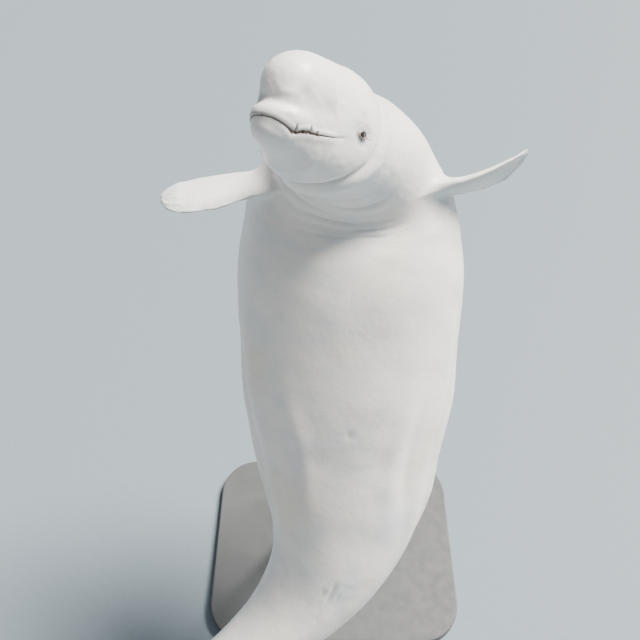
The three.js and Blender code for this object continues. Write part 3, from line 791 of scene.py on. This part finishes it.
def fin_texture(share, angle, seed):
    """Finger ridges, and the puckered skin of the tip and trailing edge."""
    spots = np.stack([share * 3.5 * np.ones_like(angle), np.cos(angle) * 2.2, np.sin(angle)], -1)
    tip = smooth_step(share, 0.66, 0.92) * (1 - 0.85 * smooth_step(share, 0.94, 1.0))
    trailing = smooth_step(-np.cos(angle), 0.45, 0.95)
    fingers = 0.0011 * np.sin(np.cos(angle) * 11) * smooth_step(share, 0.35, 0.7) * (1 - tip)
    pucker = 0.0066 * mottle(spots, 0.30, seed) * tip + 0.0026 * mottle(spots, 0.22, seed + 1) * trailing
    return fingers + pucker + 0.0010 * mottle(spots, 0.8, seed + 2)


def fillet(rim_world, rim_normals, ring_world, ring_heading):
    """Rings of skin that leave the body along its surface and turn smoothly up the fin."""
    gap = ring_world - rim_world
    reach = np.linalg.norm(gap, axis=1, keepdims=True)
    leaving = gap - (gap * rim_normals).sum(1, keepdims=True) * rim_normals
    leaving = leaving / np.linalg.norm(leaving, axis=1, keepdims=True) * reach
    arriving = ring_heading * reach
    for t in np.linspace(0, 1, FILLET_RINGS + 1)[1:-1]:
        yield t, ((1 + 2 * t) * (1 - t) ** 2 * rim_world + t * t * (3 - 2 * t) * ring_world
                  + t * (1 - t) ** 2 * leaving * 0.9 - t * t * (1 - t) * arriving * 1.1)


def grow_fin(rows, columns, angle_at, section_at, shares, heading, slate_edge):
    rim = cut_hole(trunk_index, trunk_kept, rows, columns)
    row, column = np.array(rim).T
    rim_index = trunk_index[row, column]
    rim_places = trunk_net[row, column]
    rim_world = np.concatenate(corner_points)[rim_index]
    normals = laid(rim_places + 0.001 * outward(rim_places)) - laid(rim_places)
    normals = normals / np.linalg.norm(normals, axis=1, keepdims=True)
    angle = angle_at(rim_world, rim_places)
    rings = []
    first_world, first_straight = section_at(shares[0], angle)
    for t, world in fillet(rim_world, normals, first_world, heading):
        rings.append(add_corners(world, rim_places * (1 - t) + first_straight * t, {"slate": 0.10 * t}))
    for share in shares:
        world, straight = section_at(share, angle)
        trailing = smooth_step(-np.cos(angle), 0.35, 1.0)
        edge = np.clip(slate_edge * trailing + 0.45 * smooth_step(share, 0.80, 1.0) + 0.10, 0, 1)
        rough = np.clip(smooth_step(share, 0.62, 0.95) + 0.5 * trailing, 0, 1)
        rings.append(add_corners(world, straight, {"slate": edge, "rough": rough}))
    end = np.concatenate(corner_points)[rings[-1]].mean(0)[None]
    grow(rim_index, rings, add_corners(end, straight[:1], {"slate": 0.6, "rough": 1.0})[0])


def flipper(side):
    span, lead, curl, twist = FLIPPER_POSES[side]
    span = np.array(span) / np.linalg.norm(span)
    lead = np.array(lead) - span * np.dot(span, lead)
    lead = lead / np.linalg.norm(lead)
    face = np.cross(span, lead)
    if face[2] < 0:
        face = -face
    point, axes = spine_at(FLIPPER_ROOT[0])
    root = point + side * FLIPPER_ROOT[1] * axes[1] + FLIPPER_ROOT[2] * axes[2]
    trunk_world = laid(trunk_net)
    off = trunk_world - root
    chord, through, along = off @ lead, off @ face, off @ span
    near = ((chord / 0.125) ** 2 + (through / 0.082) ** 2 < 1) & (along > 0) & (trunk_net[..., 1] * side > 0)
    rows, columns = hole_span(near)

    def angle_at(world, places):
        rim_off = world - root
        return np.arctan2(rim_off @ face / 0.037, rim_off @ lead / 0.080)

    def section_at(share, angle):
        along_chord, thickness = fin_section(FLIPPER_STATIONS, share, angle)
        bulge = fin_texture(share, angle, 20 + side)
        thickness = thickness + bulge * np.sign(np.sin(angle))
        along_chord = along_chord + bulge * np.cos(angle)
        turn = math.radians(twist) * share ** 2
        along_chord, thickness = (along_chord * math.cos(turn) - thickness * math.sin(turn),
                                  along_chord * math.sin(turn) + thickness * math.cos(turn))
        out = share * FLIPPER_LENGTH
        world = root + out * span + along_chord[:, None] * lead
        world = world + (thickness + curl * share ** 3)[:, None] * face
        outward_place = side * (FLIPPER_ROOT[1] + out) * np.ones_like(angle)
        straight = [FLIPPER_ROOT[0] - along_chord, outward_place, FLIPPER_ROOT[2] + thickness]
        return world, np.stack(straight, -1)

    exit_share = np.median(along[near]) / FLIPPER_LENGTH
    first = exit_share + 0.13
    shares = first + (1 - first) * np.linspace(0, 1, FIN_RINGS) ** 0.85
    grow_fin(rows, columns, angle_at, section_at, shares, span, 0.35)


flipper(1)
flipper(-1)


def fluke(side):
    degrees = np.degrees(np.arctan2(trunk_net[..., 2], trunk_net[..., 1] * side))
    back = trunk_net[..., 0]
    root_start, root_end = FLUKE_ROOT_BACKS
    near = (back > root_start) & (back < root_end) & (np.abs(degrees) < FLUKE_ROOT_DEGREES)
    rows, columns = hole_span(near)
    middle = (root_start + root_end) / 2
    half = (root_end - root_start) / 2

    def angle_at(world, places):
        return np.arctan2(places[:, 2] / 0.045, (middle - places[:, 0]) / half)

    def section_at(share, angle):
        leading_back, thickness = fin_section(FLUKE_STATIONS, share, angle)
        bulge = fin_texture(share, angle, 30 + side) * 0.6
        thickness = thickness + bulge * np.sign(np.sin(angle))
        droop = FLUKE_DROOP * share ** 2
        across = side * share * FLUKE_HALF_SPAN * np.ones_like(angle)
        places = np.stack([leading_back, across, thickness - droop], -1)
        return laid(places), places

    first = 0.20
    shares = first + (1 - first) * np.linspace(0, 1, FIN_RINGS) ** 0.85
    _, axes = spine_at(middle)
    grow_fin(rows, columns, angle_at, section_at, shares, side * axes[1], 0.55)


fluke(1)
fluke(-1)


def net_faces(index, kept):
    after = np.roll(index, -1, axis=1)
    quads = np.stack([index[:-1], index[1:], after[1:], after[:-1]], -1)
    return quads[kept].tolist()


faces += net_faces(head_index, head_kept)
faces += net_faces(trunk_index, trunk_kept)
faces += [[tip_index, a, b] for a, b in zip(head_index[0], np.roll(head_index[0], -1))]
faces += [[tail_index, b, a] for a, b in zip(trunk_index[-1], np.roll(trunk_index[-1], -1))]
wide, narrow = head_index[-1], trunk_index[0]
for k in range(TRUNK_SIDES):
    a, b, c = wide[2 * k], wide[2 * k + 1], wide[(2 * k + 2) % HEAD_SIDES]
    d, e = narrow[k], narrow[(k + 1) % TRUNK_SIDES]
    faces += [[a, d, b], [b, d, e], [b, e, c]]


def new_piece(name, points, polygons, smooth=True):
    mesh = bpy.data.meshes.new(name)
    mesh.from_pydata(np.asarray(points, float).tolist(), [], [[int(i) for i in face] for face in polygons])
    if smooth:
        mesh.shade_smooth()
    piece = bpy.data.objects.new(name, mesh)
    bpy.context.scene.collection.objects.link(piece)
    return piece


whale_skin = new_piece("whale_skin", np.concatenate(corner_points), faces)
straight_places = whale_skin.data.attributes.new("straight_place", "FLOAT_VECTOR", "POINT")
straight_places.data.foreach_set("vector", np.concatenate(corner_straight).astype(np.float32).ravel())
mark_table = np.concatenate(corner_marks)
for column, mark in enumerate(MARKS):
    attribute = whale_skin.data.attributes.new(mark, "FLOAT", "POINT")
    attribute.data.foreach_set("value", mark_table[:, column].astype(np.float32))


def hex_colour(code):
    """An sRGB hex colour as the linear colour that materials take."""
    parts = [int(code[i:i + 2], 16) / 255 for i in (1, 3, 5)]
    return [part / 12.92 if part <= 0.04045 else ((part + 0.055) / 1.055) ** 2.4 for part in parts] + [1.0]


def add_node(tree, kind, sockets=None, **settings):
    """Adds a node, sets its options, and sets or links its sockets by name or number."""
    made = tree.nodes.new(kind)
    for name, value in settings.items():
        setattr(made, name, value)
    for socket, value in (sockets or {}).items():
        if isinstance(value, bpy.types.NodeSocket):
            tree.links.new(value, made.inputs[socket])
        else:
            made.inputs[socket].default_value = value
    return made


def new_finish(name, attribute=None):
    """A material, its nodes and shader, and the places its patterns follow."""
    finish = bpy.data.materials.new(name)
    finish.use_nodes = True
    tree = finish.node_tree
    if attribute:
        place = add_node(tree, "ShaderNodeAttribute", attribute_name=attribute).outputs["Vector"]
    else:
        place = add_node(tree, "ShaderNodeTexCoord").outputs["Object"]
    return finish, tree, tree.nodes["Principled BSDF"], place


def cloud(size, detail, low, high):
    """Soft patches of about the given size in metres, from 0 to 1."""
    noise = add_node(tree, "ShaderNodeTexNoise", {"Vector": place, "Scale": 1 / size, "Detail": detail})
    span = {0: noise.outputs["Fac"], 1: low, 2: high, 3: 0.0, 4: 1.0}
    return add_node(tree, "ShaderNodeMapRange", span, interpolation_type="SMOOTHSTEP").outputs[0]


def coloured(base, *coats):
    """A base colour with coats over it, each as strong as its pattern times its strength."""
    colour = hex_colour(base)
    for tint, pattern, strength in coats:
        amount = add_node(tree, "ShaderNodeMath", {0: pattern, 1: strength}, operation="MULTIPLY")
        colours = {"Factor": amount.outputs[0], 6: colour, 7: hex_colour(tint)}
        colour = add_node(tree, "ShaderNodeMix", colours, data_type="RGBA").outputs[2]
    tree.links.new(colour, shader.inputs["Base Color"])


def dulled(pattern, least, most):
    """Roughness that follows a pattern between two values."""
    span = {0: pattern, 1: 0.0, 2: 1.0, 3: least, 4: most}
    tree.links.new(add_node(tree, "ShaderNodeMapRange", span).outputs[0], shader.inputs["Roughness"])


def pressed(size, detail, strength, depth):
    """Presses lumps of the given size and depth in metres into the surface, over any pressed before."""
    lumps = add_node(tree, "ShaderNodeTexNoise", {"Vector": place, "Scale": 1 / size, "Detail": detail})
    sockets = {"Height": lumps.outputs["Fac"], "Strength": strength, "Distance": depth}
    if shader.inputs["Normal"].is_linked:
        sockets["Normal"] = shader.inputs["Normal"].links[0].from_socket
    tree.links.new(add_node(tree, "ShaderNodeBump", sockets).outputs[0], shader.inputs["Normal"])


# Whale hide is smooth, rubbery and wet-looking: creamy white with faint bluish and yellowish clouds,
# slate grey on the rims of the fins and round the eyes, and painted shade darkening folds and slits.
# Round the eyes, in hollows and along the lips the slate grey is partly painted shade.
hide, tree, shader, place = new_finish("beluga_hide", "straight_place")
marks = {name: add_node(tree, "ShaderNodeAttribute", attribute_name=name).outputs["Fac"] for name in MARKS}
coloured(
    "#F9F7F3",
    ("#E8ECEF", cloud(0.22, 3, 0.42, 0.70), 1.0),
    ("#F0E8D8", cloud(0.35, 2, 0.50, 0.75), 0.5),
    ("#D3D8DC", cloud(0.020, 4, 0.56, 0.72), 0.25),
    # Slate grey: real on the fin rims, painted shade in hollows and along the lips, partly both round the
    # eyes.
    ("#9AA3AB", marks["slate"], 1.0),
    # Painted shade darkening folds, wrinkles, slits and pits.
    ("#77716D", marks["crease"], 0.85),
    ("#8B7B71", marks["lip"], 1.0),
)
shader.inputs["IOR"].default_value = 1.42
shader.inputs["Subsurface Weight"].default_value = 0.12
shader.inputs["Subsurface Radius"].default_value = (0.012, 0.007, 0.005)
shader.inputs["Subsurface Scale"].default_value = 1.0
dulled(cloud(0.050, 3, 0.3, 0.7), 0.33, 0.47)
pressed(0.004, 3.0, 0.25, 0.0006)
puckered = {0: marks["rough"], 1: 0.75, 2: 0.25}
pressed(0.022, 4.0, add_node(tree, "ShaderNodeMath", puckered, operation="MULTIPLY_ADD").outputs[0], 0.004)
whale_skin.data.materials.append(hide)

FLESH_NODES = [
    "head", "melon", "upper_jaw", "lower_jaw", "neck", "chest", "trunk", "loin", "dorsal_ridge",
    "tail_stock", "flipper_left", "flipper_right", "fluke_left", "fluke_right",
]
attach(whale_skin, "root")
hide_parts(*FLESH_NODES)

# Eyes
# Each eye is a small wet ball with a dark brown iris, a wide pupil and a clear bulge in front.
EYE_RINGS = 26
EYE_SIDES = 48
BALL_RADIUS = 0.0189
CORNEA_BULGE = 0.0008
GAZE = (-0.24, 1.0, -0.20)


def eyeball(side, which):
    centre = eye_centre(side)
    gaze = np.array(GAZE) * np.array([1, side, 1])
    gaze = gaze / np.linalg.norm(gaze)
    behind = np.array([1.0, 0, 0]) - gaze[0] * gaze
    behind = behind / np.linalg.norm(behind)
    above = np.cross(behind, gaze) * side
    swing = np.linspace(0, math.pi, EYE_RINGS + 1)[1:-1, None]
    around = np.arange(EYE_SIDES)[None, :] * 2 * math.pi / EYE_SIDES
    radius = BALL_RADIUS + CORNEA_BULGE * smooth_step(0.62 - swing, 0, 0.35)
    grid = np.stack([radius * np.sin(swing) * np.cos(around), radius * np.cos(swing) * np.ones_like(around),
                     radius * np.sin(swing) * np.sin(around)], -1)
    front = np.array([[0, BALL_RADIUS + CORNEA_BULGE, 0], [0, -BALL_RADIUS, 0]])
    local = np.concatenate([grid.reshape(-1, 3), front])
    index = np.arange(grid.shape[0] * EYE_SIDES).reshape(-1, EYE_SIDES)
    after = np.roll(index, -1, axis=1)
    quads = np.stack([index[:-1], index[1:], after[1:], after[:-1]], -1).reshape(-1, 4).tolist()
    quads += [[index.size, a, b] for a, b in zip(index[0], after[0])]
    quads += [[index.size + 1, b, a] for a, b in zip(index[-1], after[-1])]
    if side > 0:
        quads = [face[::-1] for face in quads]
    ball = new_piece(f"eyeball_{which}", laid(centre + local @ np.array([behind, gaze, above])), quads)
    across = ball.data.attributes.new("pupil_place", "FLOAT_VECTOR", "POINT")
    across.data.foreach_set("vector", local[:, [0, 2, 1]].astype(np.float32).ravel())
    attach(ball, "root")
    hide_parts(f"eye_{which}")
    return ball


eyes = [eyeball(1, "left"), eyeball(-1, "right")]

# A beluga's iris is dark brown and the pupil a wide oval. Tears keep the ball mirror-bright.
wet_eye, tree, shader, place = new_finish("wet_brown_eye", "pupil_place")
oval = add_node(tree, "ShaderNodeMapping", {"Vector": place, "Scale": (0.72, 1.0, 0.0)})
out = add_node(tree, "ShaderNodeVectorMath", {0: oval.outputs[0]}, operation="LENGTH").outputs["Value"]
iris = add_node(tree, "ShaderNodeTexNoise", {"Vector": place, "Scale": 1 / 0.0016, "Detail": 3.0})
pupil = add_node(tree, "ShaderNodeMapRange", {0: out, 1: 0.0040, 2: 0.0050, 3: 1.0, 4: 0.0})
rim = add_node(tree, "ShaderNodeMapRange", {0: out, 1: 0.0088, 2: 0.0108, 3: 0.0, 4: 1.0})
coloured(
    "#231D19",
    ("#3A312A", iris.outputs["Fac"], 1.0),
    ("#0B0908", pupil.outputs[0], 1.0),
    ("#2A211D", rim.outputs[0], 1.0),
)
shader.inputs["Roughness"].default_value = 0.08
shader.inputs["Coat Weight"].default_value = 1.0
shader.inputs["Coat Roughness"].default_value = 0.02
for ball in eyes:
    ball.data.materials.append(wet_eye)

# Stand
# A welded steel base, collars and two round bars hold the whale from behind, in rubber-lined cups. The
# base and collars are powder-coated dark grey, the bars are brushed, and bolts hold the collars down.


def finish_nodes(finish, *names):
    for name in names:
        bpy.data.objects[name].material_slots[0].material = finish


# Powder coat dries to a fine orange-peel skin, matt and slightly speckled.
coat, tree, shader, place = new_finish("dark_grey_powder_coat")
coloured(
    "#4A4D50",
    ("#54575A", cloud(0.0012, 2, 0.35, 0.7), 1.0),
    ("#3F4245", cloud(0.12, 3, 0.4, 0.75), 0.4),
)
dulled(cloud(0.06, 3, 0.3, 0.7), 0.48, 0.62)
pressed(0.0016, 2.0, 0.35, 0.0003)
finish_nodes(coat, "stand_base", "stand_collar_trunk", "stand_collar_tail")

# The bars are brushed round in a lathe, so the fine lines run across them and the shine is stretched.
steel, tree, shader, place = new_finish("brushed_steel")
place = add_node(tree, "ShaderNodeMapping", {"Vector": place, "Scale": (12.0, 12.0, 900.0)}).outputs[0]
fine_lines = {"Vector": place, "Scale": 1.0, "Detail": 4.0}
scratches = add_node(tree, "ShaderNodeTexNoise", fine_lines).outputs["Fac"]
coloured("#B4B6B8", ("#9B9EA1", scratches, 1.0))
shader.inputs["Metallic"].default_value = 1.0
dulled(scratches, 0.24, 0.44)
pressed(1.0, 4.0, 0.2, 0.0002)
finish_nodes(steel, "stand_rod_trunk", "stand_rod_tail")

# Moulded rubber is matt black, faintly mottled with bloom.
rubber, tree, shader, place = new_finish("black_rubber")
coloured("#1B1B1D", ("#2B2B2D", cloud(0.015, 4, 0.4, 0.8), 1.0))
shader.inputs["Roughness"].default_value = 0.72
pressed(0.0012, 2.0, 0.4, 0.0003)
finish_nodes(rubber, "stand_cup_trunk", "stand_cup_tail")

# Collar bolts
# Six zinc-plated hexagon bolts with washers hold each collar down. Geometry Nodes sets them in a circle.
COLLAR_FEET = {"trunk": (0.060, 0.440, 0.096), "tail": (-0.250, 0.130, 0.096)}
zinc, tree, shader, place = new_finish("zinc_plate")
coloured("#A9ADAF", ("#8E9396", cloud(0.004, 3, 0.35, 0.7), 1.0))
shader.inputs["Metallic"].default_value = 1.0
shader.inputs["Roughness"].default_value = 0.38
BOLT_INPUTS = {
    "Bolts": ("NodeSocketInt", 6),
    "Circle radius": ("NodeSocketFloat", 0.057),
    "Head radius": ("NodeSocketFloat", 0.0075),
    "Head height": ("NodeSocketFloat", 0.0060),
    "Chamfer": ("NodeSocketFloat", 0.0008),
    "Washer radius": ("NodeSocketFloat", 0.0098),
    "Washer height": ("NodeSocketFloat", 0.0016),
    "Finish": ("NodeSocketMaterial", zinc),
}


def bolt_circle_tree():
    """Hexagon heads with a chamfer, on washers, in a circle."""
    group = bpy.data.node_groups.new("bolt_circle", "GeometryNodeTree")
    for name, (kind, _) in BOLT_INPUTS.items():
        group.interface.new_socket(name, in_out="INPUT", socket_type=kind)
    group.interface.new_socket("Bolts made", in_out="OUTPUT", socket_type="NodeSocketGeometry")
    given = group.nodes.new("NodeGroupInput").outputs
    ring = {"Vertices": given["Bolts"], "Radius": given["Circle radius"]}
    circle = add_node(group, "GeometryNodeMeshCircle", ring)
    disc = {"Vertices": 32, "Radius": given["Washer radius"], "Depth": given["Washer height"]}
    washer = add_node(group, "GeometryNodeMeshCylinder", disc)
    hexagon = {"Vertices": 6, "Radius": given["Head radius"], "Depth": given["Head height"]}
    head = add_node(group, "GeometryNodeMeshCylinder", hexagon).outputs
    top = {"Mesh": head["Mesh"], "Selection": head["Top"], "Offset Scale": given["Chamfer"]}
    chamfer = add_node(group, "GeometryNodeExtrudeMesh", top).outputs
    edge = {"Geometry": chamfer["Mesh"], "Selection": chamfer["Top"], "Scale": 0.86}
    narrowed = add_node(group, "GeometryNodeScaleElements", edge)
    half_head = {0: given["Head height"], 1: 0.5, 2: given["Washer height"]}
    head_middle = add_node(group, "ShaderNodeMath", half_head, operation="MULTIPLY_ADD")
    half_washer = {0: given["Washer height"], 1: 0.5}
    washer_middle = add_node(group, "ShaderNodeMath", half_washer, operation="MULTIPLY")
    bolt = group.nodes.new("GeometryNodeJoinGeometry")
    for shape, middle in ((narrowed.outputs[0], head_middle), (washer.outputs["Mesh"], washer_middle)):
        lift = add_node(group, "ShaderNodeCombineXYZ", {2: middle.outputs[0]}).outputs[0]
        raised = add_node(group, "GeometryNodeTransform", {"Geometry": shape, "Translation": lift})
        group.links.new(raised.outputs[0], bolt.inputs[0])
    each = {"Points": circle.outputs["Mesh"], "Instance": bolt.outputs[0]}
    placed = add_node(group, "GeometryNodeInstanceOnPoints", each)
    real = add_node(group, "GeometryNodeRealizeInstances", {"Geometry": placed.outputs[0]})
    painted = {"Geometry": real.outputs[0], "Material": given["Finish"]}
    finished = add_node(group, "GeometryNodeSetMaterial", painted)
    add_node(group, "NodeGroupOutput", {0: finished.outputs[0]})
    return group


bolt_tree = bolt_circle_tree()
for collar, foot in COLLAR_FEET.items():
    source = new_piece("bolt_source", np.zeros((1, 3)), [], smooth=False)
    maker = source.modifiers.new("bolts", "NODES")
    maker.node_group = bolt_tree
    for item in bolt_tree.interface.items_tree:
        if item.item_type == "SOCKET" and item.in_out == "INPUT":
            maker[item.identifier] = BOLT_INPUTS[item.name][1]
    bpy.context.view_layer.update()
    made = bpy.data.meshes.new_from_object(source.evaluated_get(bpy.context.evaluated_depsgraph_get()))
    source.modifiers.remove(maker)
    bpy.data.objects.remove(source)
    corners = np.zeros(len(made.vertices) * 3)
    made.vertices.foreach_get("co", corners)
    made.vertices.foreach_set("co", (corners.reshape(-1, 3) + np.array(foot)).ravel())
    made.name = f"collar_bolts_{collar}"
    bolts = bpy.data.objects.new(made.name, made)
    bpy.context.scene.collection.objects.link(bolts)
    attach(bolts, "root")

# Floor, camera and lights
# A plain pale studio floor. The camera looks down at the angle of the photograph, and a soft key from the
# upper right leaves the chin and throat in shade.
floor_points = [(-30, -30, 0), (30, -30, 0), (30, 30, 0), (-30, 30, 0)]
floor = new_piece("floor", floor_points, [(0, 1, 2, 3)], smooth=False)
paint, tree, shader, place = new_finish("pale_floor_paint")
coloured("#76848F", ("#798792", cloud(0.03, 3, 0.3, 0.7), 1.0))
shader.inputs["Roughness"].default_value = 0.7
floor.data.materials.append(paint)

CAMERA_PLACE = (-0.076, -1.774, 4.351)
LOOK_DOWN = math.radians(49.5)
CAMERA_TURN = 0.0061
FOCAL_PIXELS = 686
PICTURE_PIXELS = 640
SENSOR_WIDTH = 36
camera_data = bpy.data.cameras.new("camera")
camera_data.sensor_width = SENSOR_WIDTH
camera_data.lens = SENSOR_WIDTH * FOCAL_PIXELS / PICTURE_PIXELS
camera = bpy.data.objects.new("camera", camera_data)
camera.location = CAMERA_PLACE
camera.rotation_euler = (math.pi / 2 - LOOK_DOWN, 0, CAMERA_TURN)
bpy.context.scene.collection.objects.link(camera)
bpy.context.scene.camera = camera


def aimed(name, lamp, place, aim):
    """Hangs a lamp at a place, shining toward its aim."""
    holder = bpy.data.objects.new(name, lamp)
    holder.location = place
    direction = np.array(aim, float) - np.array(place, float)
    flat = math.hypot(direction[0], direction[1])
    holder.rotation_euler = (math.atan2(flat, -direction[2]), 0, math.atan2(-direction[0], direction[1]))
    bpy.context.scene.collection.objects.link(holder)


key = bpy.data.lights.new("key_light", "SUN")
key.energy = 14.0
key.angle = math.radians(26)
key.color = hex_colour("#FFF8EE")[:3]
aimed("key_light", key, (3.3, 1.9, 6.6), (0.0, 0.1, 1.6))
fill = bpy.data.lights.new("fill_light", "AREA")
fill.shape = "DISK"
fill.size = 3.5
fill.energy = 25
fill.color = hex_colour("#FFD9B4")[:3]
aimed("fill_light", fill, (-2.8, -4.2, 2.6), (0.0, -0.1, 2.9))
studio = bpy.data.worlds.new("studio")
studio.use_nodes = True
sky = studio.node_tree.nodes["Background"].inputs
sky["Color"].default_value = hex_colour("#DFE7EE")
sky["Strength"].default_value = 0.36
bpy.context.scene.world = studio
